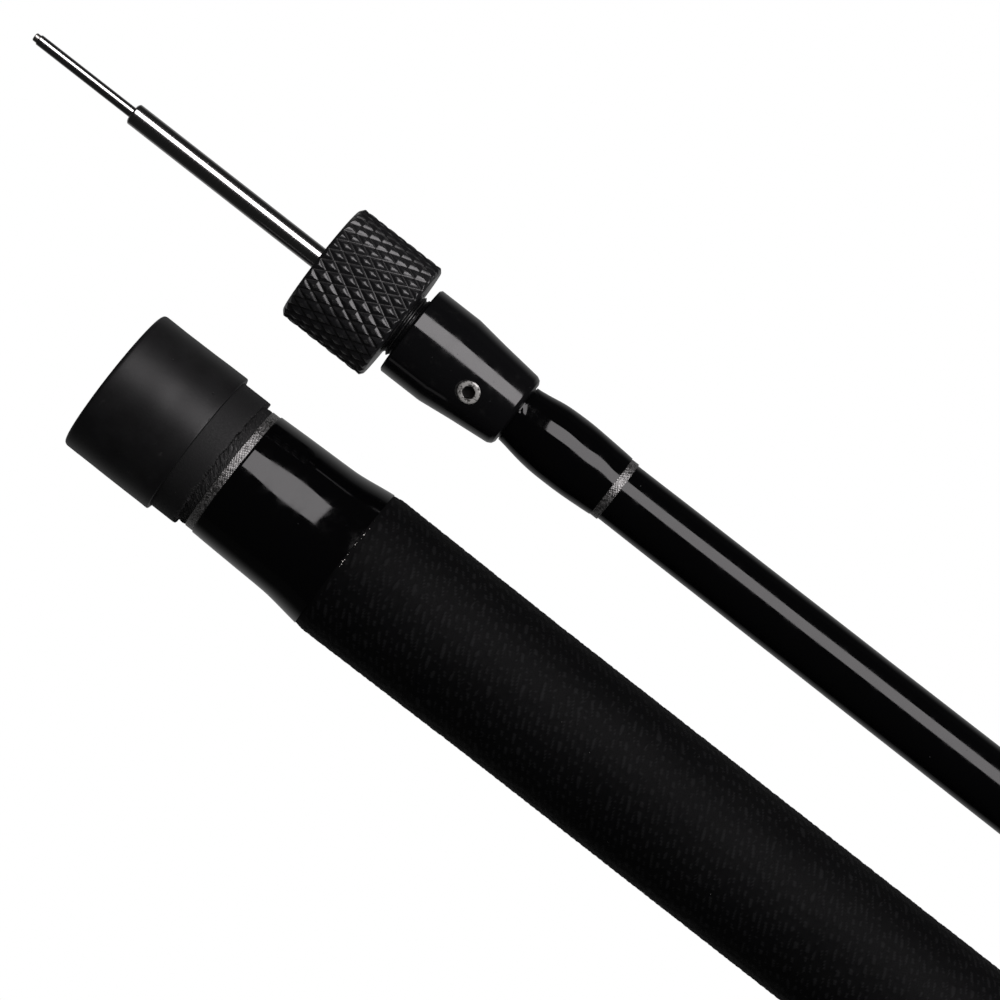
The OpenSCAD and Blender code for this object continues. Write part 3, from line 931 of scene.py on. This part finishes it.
def knurl_height(x, a, count, length):
    """Height, 0 to 1, of a diamond knurl: count diamonds round, each length mm along the axis."""
    u = count * a / TURN + x / length
    v = count * a / TURN - x / length
    groove = np.minimum(np.abs(u - np.round(u)), np.abs(v - np.round(v))) * 2
    return np.sin(math.pi / 2 * np.clip(groove / 0.9, 0, 1))


def make_union_nut(material):
    """Captive union nut: two knurled bands with a plain groove between them, thread inside."""
    x0, x1, r = span("union_nut")
    bore = 13.3
    back_hole = 9.4
    wall_x = x0 + 2.6
    groove_x = (x0 + x1) / 2
    points = [(x0, back_hole), (x0, r - 1), (x0 + 1, r), (groove_x - 1.2, r), (groove_x - 0.6, r - 0.7),
              (groove_x + 0.6, r - 0.7), (groove_x + 1.2, r), (x1 - 1, r), (x1, r - 1), (x1, bore + 0.4),
              (x1 - 0.4, bore), (wall_x, bore), (wall_x, back_hole)]
    outline = dense(points, 0.2, x0, x1)

    def shape(x, radius, a):
        outside = radius > r - 1.05
        height = knurl_height(x - groove_x, a, 40, 4.0)
        outer = np.minimum(radius, r - 0.45 * (1 - height))
        inner = np.abs(radius - bore) < 0.02
        thread = radius - 0.22 * thread_height(x, a, JOINT_PITCH) * ease(x - wall_x - 5)
        r_new = np.where(outside, outer, np.where(inner, thread, radius))
        return x, r_new, np.where(outside & (np.abs(outer - radius) > 1e-4), height, 0.8)

    put("union_nut", turned("union_nut_metal", outline, TIP_Y, 480, shape), material)


# ---------------------------------------------------------------- tip section, front half

def wrap_r(u):
    """Radius of the winding behind the ferrule, at a fraction u of its length."""
    rise = 1.25 * math.sin(math.pi / 2 * min(1, u / 0.45)) ** 1.2
    return 6.4 + rise - 0.59 * (max(0, u - 0.5) / 0.5) ** 1.8


def make_tip_wrap(material):
    """Epoxy winding behind the ferrule, with small lumps where the epoxy crept up to the metal."""
    x0, x1, _ = span("tip_wrap")
    outline = [(x0, NOSE_R - 0.1)] + graded(x0, x1, 110, wrap_r) + [(x1, NOSE_R - 0.1)]
    slow = ripple(61, (5, 16), (1, 6))
    lumps = ripple(62, (1.5, 4.0), (5, 22), 20)

    def shape(x, r, a):
        outside = ease((r - NOSE_R) / 0.15)
        near = bell(x, x0, 0.9)
        soft = 0.035 * (1 - slow(x, a)) * ease((x - x0) / 4)
        beads = 0.10 * bell(a, math.radians(-4), 0.16) + 0.10 * bell(a, math.radians(68), 0.24)
        crept = near * (0.14 * np.clip(lumps(x, a), 0, 1) + beads)
        return x, r + outside * (crept - soft), np.ones_like(x)

    put("tip_wrap", turned("tip_wrap_epoxy", outline, TIP_Y, 160, shape), material)


def grub_frame():
    """Matrix that turns a piece made along X onto the grub screw's axis, +X outwards."""
    outwards = Vector((0, -math.sin(GRUB_LEAN), math.cos(GRUB_LEAN)))
    side = Vector((1, 0, 0))
    third = outwards.cross(side)
    turn = Matrix((outwards, side, third)).transposed().to_4x4()
    return Matrix.Translation(Vector((GRUB_X, TIP_Y, 0)) * MM) @ turn


def make_ferrule(material):
    """Ferrule: crisp front rim, straight body, two tapers, rounded back, hole for the grub screw."""
    x0, x_end, r = span("tip_ferrule")
    back = x0 + 27.1
    shank_end = x0 + 21.4
    points = [(x0, 6.5), (x0, r - 0.4), (x0 + 0.4, r), (x0 + 10, r), (x0 + 17, r - 0.85),
              (back - 1.2, 8.35), (back - 0.4, 7.9), (back, 7.15), (back, SHAFT_BORE_R),
              (x_end, SHAFT_BORE_R), (x_end, 3.6), (shank_end, 3.6), (shank_end, 6.5)]
    radii = [0.2, 0.15, 0.25, 3.0, 4.0, 1.2, 0.4, 0.3, 0, 0.3, 0, 0, 0]
    outline = dense(rounded(points, radii, 6), 0.6, x0, back)
    body = turned("tip_ferrule_metal", outline, TIP_Y, 192)
    piece = put("tip_ferrule", body, material)
    bottom = 6.0
    rim = 9.25
    hole = [(bottom, 0), (bottom, 2.45), (rim - 0.25, 2.45), (rim + 0.75, 3.1), (rim + 0.75, 0)]
    mesh = turned("grub_hole", rounded(hole, [0, 0, 0.2, 0, 0], 3), 0, 64)
    mesh.transform(grub_frame())
    cut_with(piece, show("grub_hole", mesh))
    finish_mesh(piece.data, 30)


def make_grub_screw(material):
    """Grub screw: chamfered rim, hex socket half as wide as the screw, thread on its side."""
    low = 6.6
    top = 9.1
    r = 2.4
    socket = 1.25
    depth = 1.3
    outline = [(low, 0), (low, r - 0.35), (low + 0.3, r)]
    outline += [(low + 0.3 + 0.08 * i, r) for i in range(1, 21)]
    outline += [(top - 0.3, r), (top - 0.08, r - 0.18), (top, r - 0.34), (top, socket + 0.16),
                (top - 0.08, socket), (top - depth, socket), (top - depth - 0.3, 0)]

    def shape(x, radius, a):
        corner = np.mod(a, TURN / 6) - TURN / 12
        hexed = (radius > 0.5) & (radius < socket + 0.05)
        r_hex = socket / np.cos(corner)
        side = (radius > r - 0.01) & (x > low + 0.35) & (x < top - 0.35)
        thread = radius - 0.25 * (1 - thread_height(x, a, GRUB_PITCH))
        r_new = np.where(hexed, r_hex, np.where(side, thread, radius))
        return x, r_new, np.where(radius < socket + 0.05, 0.0, 1.0)

    mesh = turned("grub_screw_steel", outline, 0, 96, shape, 30)
    mesh.transform(grub_frame())
    put("grub_screw", mesh, material)


def make_chuck_body(material):
    """Chuck's body: threaded neck, plain shank in the ferrule, taper and bore inside."""
    x0, x1, r = span("chuck_body")
    neck_end = span("tip_ferrule")[0]
    shank = 6.5
    bore = 2.75
    seat = 3.9
    points = [(x0, 5.9), (x0, r - 0.5), (x0 + 0.5, r), (neck_end, r), (neck_end, shank),
              (x1, shank), (x1, bore), (38.5, bore), (38.5, seat), (33.5, seat)]
    outline = dense(points, 0.06, x0, neck_end + 0.01)

    def shape(x, radius, a):
        height = thread_height(x, a, NECK_PITCH)
        cut = ease((neck_end - x) / 0.5)
        depth = 0.55
        on_thread = (radius > r - depth) & (x < neck_end)
        r_new = np.minimum(radius, r - depth * (1 - height * cut))
        return x, np.where(on_thread, r_new, radius), np.where(on_thread, height, 0.5)

    put("chuck_body", turned("chuck_body_metal", outline, TIP_Y, 144, shape), material)


def make_knurled_nut(material):
    """Knurled nut: diamond knurl that runs out on chamfers at both rims, bore stepped inside."""
    x0, x1, r = span("knurled_nut")
    middle = (x0 + x1) / 2
    rim = 0.45
    cell = 4.86
    hole = 4.6
    thread = 7.05
    points = [(x0, hole), (x0, r - 0.95), (x0 + 0.1, r - 0.8), (x0 + 0.8, r), (x1 - 0.6, r),
              (x1 - 0.1, r - 0.6), (x1, r - 0.75), (x1, thread + 0.5), (x1 - 0.5, thread),
              (x0 + 6, thread), (x0 + 5, 6.3), (x0 + 2.9, hole)]
    fine = dense(points, cell / 32, x0 + 0.7, x1 - 0.5)
    outline = dense(fine, 0.12, x0, x0 + 0.85)
    outline = dense(outline, 0.12, x1 - 0.65, x1)
    uneven = ripple(71, (2, 9), (5, 40), 20)

    def shape(x, radius, a):
        outside = radius > r - 0.96
        height = knurl_height(x - middle, a, 32, cell)
        depth = 0.58 + 0.03 * uneven(x, a)
        plain = np.maximum(bell(x, x0 + 0.7, rim), bell(x, x1 - 0.5, rim))
        knurled = r - depth * (1 - height)
        r_new = np.where(outside, np.minimum(radius, knurled), radius)
        cut = np.where(outside & (knurled < radius), height, 0.9)
        return x, r_new, np.clip(cut - 0.02 * plain, 0, 1)

    mesh = turned("knurled_nut_metal", outline, TIP_Y, 512, shape, 50)
    put("knurled_nut", mesh, material)


def make_probe(steel, nickel):
    """Probe: tube with a rolled lip, sliding pin with a chamfered end, rod magnet in the pin."""
    x0, x1, r = span("probe_tube")
    bore = 1.65
    lip = 1.2
    lip_end = x0 + 2.1
    points = [(x0, lip), (x0, r - 0.42), (x0 + 0.35, r), (x1, r), (x1, bore), (lip_end, bore),
              (lip_end, lip)]
    outline = dense(rounded(points, [0.12, 0.2, 0.35, 0.2, 0, 0, 0], 5), 3.0, x0 + 1, x1)
    tube = turned("probe_tube_steel", outline, TIP_Y, 96)
    put("probe_tube", tube, steel)
    x0, x1, r = span("probe_pin")
    bottom = x0 + 5.0
    points = [(x0, 0.9), (x0, r - 0.12), (x0 + 0.2, r), (x1, r), (x1, 0), (bottom, 0), (bottom, 0.9)]
    outline = dense(rounded(points, [0.03, 0.05, 0.15, 0.2, 0, 0, 0], 4), 3.0, x0 + 0.5, x1)
    put("probe_pin", turned("probe_pin_steel", outline, TIP_Y, 72), steel)
    x0, x1, r = span("tip_magnet")
    points = [(x0, 0), (x0, r - 0.16), (x0 + 0.16, r), (x1, r), (x1, 0)]
    outline = rounded(points, [0, 0.06, 0.12, 0.05, 0], 4)
    put("tip_magnet", turned("tip_magnet_nickel", outline, TIP_Y, 64), nickel)


# ---------------------------------------------------------------- studio

def make_floor():
    """Plain floor, white to the camera. As a source of light it is dim, and least so from above."""
    size = 1.6
    mesh = bpy.data.meshes.new("floor")
    z = FLOOR_Z - 0.0001
    corners = [(-size, -size, z), (size, -size, z), (size, size, z), (-size, size, z)]
    mesh.from_pydata(corners, [], [(0, 1, 2, 3)])
    floor = show("floor", mesh)
    material = bpy.data.materials.new("floor_paper")
    material.use_nodes = True
    nodes = material.node_tree.nodes
    links = material.node_tree.links
    nodes.clear()
    output = nodes.new("ShaderNodeOutputMaterial")
    glow = nodes.new("ShaderNodeEmission")
    path = nodes.new("ShaderNodeLightPath")
    facing = nodes.new("ShaderNodeLayerWeight")
    facing.inputs["Blend"].default_value = 0.5
    steep = nodes.new("ShaderNodeMapRange")
    steep.interpolation_type = "SMOOTHSTEP"
    steep.inputs["From Min"].default_value = 0.62
    steep.inputs["From Max"].default_value = 0.12
    steep.inputs["To Min"].default_value = 0.02
    steep.inputs["To Max"].default_value = 0.27
    pick = nodes.new("ShaderNodeMix")
    pick.data_type = "FLOAT"
    pick.inputs[3].default_value = 1.0
    links.new(facing.outputs["Facing"], steep.inputs["Value"])
    links.new(steep.outputs["Result"], pick.inputs[2])
    links.new(path.outputs["Is Camera Ray"], pick.inputs[0])
    links.new(pick.outputs[0], glow.inputs["Strength"])
    links.new(glow.outputs[0], output.inputs["Surface"])
    mesh.materials.append(material)


def make_world():
    """White surroundings behind the object, dim ones in its gloss, and soft fill light."""
    world = bpy.data.worlds.new("studio")
    bpy.context.scene.world = world
    world.use_nodes = True
    nodes = world.node_tree.nodes
    links = world.node_tree.links
    background = nodes["Background"]
    path = nodes.new("ShaderNodeLightPath")
    fill = nodes.new("ShaderNodeMix")
    fill.data_type = "FLOAT"
    fill.inputs[2].default_value = 0.30
    fill.inputs[3].default_value = 0.012
    pick = nodes.new("ShaderNodeMix")
    pick.data_type = "FLOAT"
    pick.inputs[3].default_value = 1.0
    links.new(path.outputs["Is Glossy Ray"], fill.inputs[0])
    links.new(fill.outputs[0], pick.inputs[2])
    links.new(path.outputs["Is Camera Ray"], pick.inputs[0])
    links.new(pick.outputs[0], background.inputs["Strength"])
    background.inputs["Color"].default_value = (1, 1, 1, 1)


def make_lamp(name, x0, x1):
    """Soft lamp from x0 to x1, beside and above the tip section and facing it."""
    width = 0.39
    radiance = 4.0
    aside = 0.309
    height = 0.514
    lamp = bpy.data.lights.new(name, "AREA")
    lamp.shape = "RECTANGLE"
    lamp.size = x1 - x0
    lamp.size_y = width
    lamp.energy = radiance * math.pi * lamp.size * lamp.size_y
    lamp.color = (1.0, 0.965, 0.985)
    box = show(name, lamp)
    target = Vector(((x0 + x1) / 2, TIP_Y * MM, 0))
    box.location = target + Vector((0, aside, height))
    back = (box.location - target).normalized()
    along = Vector((1, 0, 0))
    turn = Matrix((along, back.cross(along), back)).transposed()
    box.rotation_euler = turn.to_euler()
    return box


def make_lamps():
    """One long softbox, and its continuation past the tip, which lights the probe alone."""
    make_lamp("softbox", -0.07, 0.61)
    more = make_lamp("probe_panel", -0.30, -0.071)
    lit = bpy.data.collections.new("probe_light")
    for name in ("probe_tube_looks", "probe_pin_looks", "tip_magnet_looks"):
        lit.objects.link(bpy.data.objects[name])
    more.light_linking.receiver_collection = lit


def make_camera():
    """Camera straight above, turned so that both sections run down to the right."""
    camera = bpy.data.cameras.new("camera")
    camera.sensor_width = 36
    camera.lens = 153.7
    camera.clip_start = 0.01
    camera.clip_end = 10
    eye = show("camera", camera)
    eye.location = (0.0757, 0.0284, 0.854)
    eye.rotation_euler = (0, 0, math.radians(38.0))
    bpy.context.scene.camera = eye


def make_handle(epoxy):
    """Every piece of the handle."""
    rubber = sleeve_rubber()
    make_butt_cap(cap_rubber())
    make_cap_sleeve(rubber)
    make_glue_residue(rubber)
    make_butt_wrap(epoxy)
    make_front_wrap(epoxy)
    make_grip_sleeve(grip_rubber())
    make_seam_specks(magnet_nickel())
    make_joint_boss(black_metal("black_anodised_handle", 0.0, 0.3))
    dress("handle_tube", fibre_tube())
    dress("grip_underlay", foam())


def make_tip_section(epoxy, steel):
    """Every piece of the tip section."""
    knurled = knurled_metal()
    brass = brushed("brass", (0.62, 0.43, 0.18), 0.28, TIP_Y)
    make_shaft(gloss_black("gloss_shaft", TIP_Y, 0.006, 0.06, 0.3))
    make_tip_wrap(epoxy)
    make_tail_wrap(epoxy)
    make_tail_flange(black_metal("black_anodised_tip", TIP_Y, 0.3))
    make_union_nut(knurled)
    make_ferrule(black_metal("gloss_black_metal", TIP_Y, 0.10, 0.3))
    make_chuck_body(thread_metal("thread_black", TIP_Y))
    make_knurled_nut(knurled)
    make_grub_screw(worn_steel())
    make_probe(steel, magnet_nickel())
    for node in ("union_slip_ring", "grub_pad", "pin_bush"):
        dress(node, brass)
    dress("collet", brushed("spring_steel", (0.42, 0.41, 0.40), 0.3, TIP_Y))
    dress("probe_stop_collar", steel)


def main():
    """Builds the whole scene."""
    bpy.context.scene.view_settings.view_transform = "Standard"
    handle_epoxy = gloss_black("gloss_epoxy_handle", 0.0, 0.012, 0.05, 0.42)
    tip_epoxy = gloss_black("gloss_epoxy_tip", TIP_Y, 0.010, 0.05, 0.3)
    steel = polished_steel("polished_steel", TIP_Y)
    make_camera()
    make_floor()
    make_world()
    make_handle(handle_epoxy)
    make_tip_section(tip_epoxy, steel)
    make_trim_bands()
    make_lamps()


main()
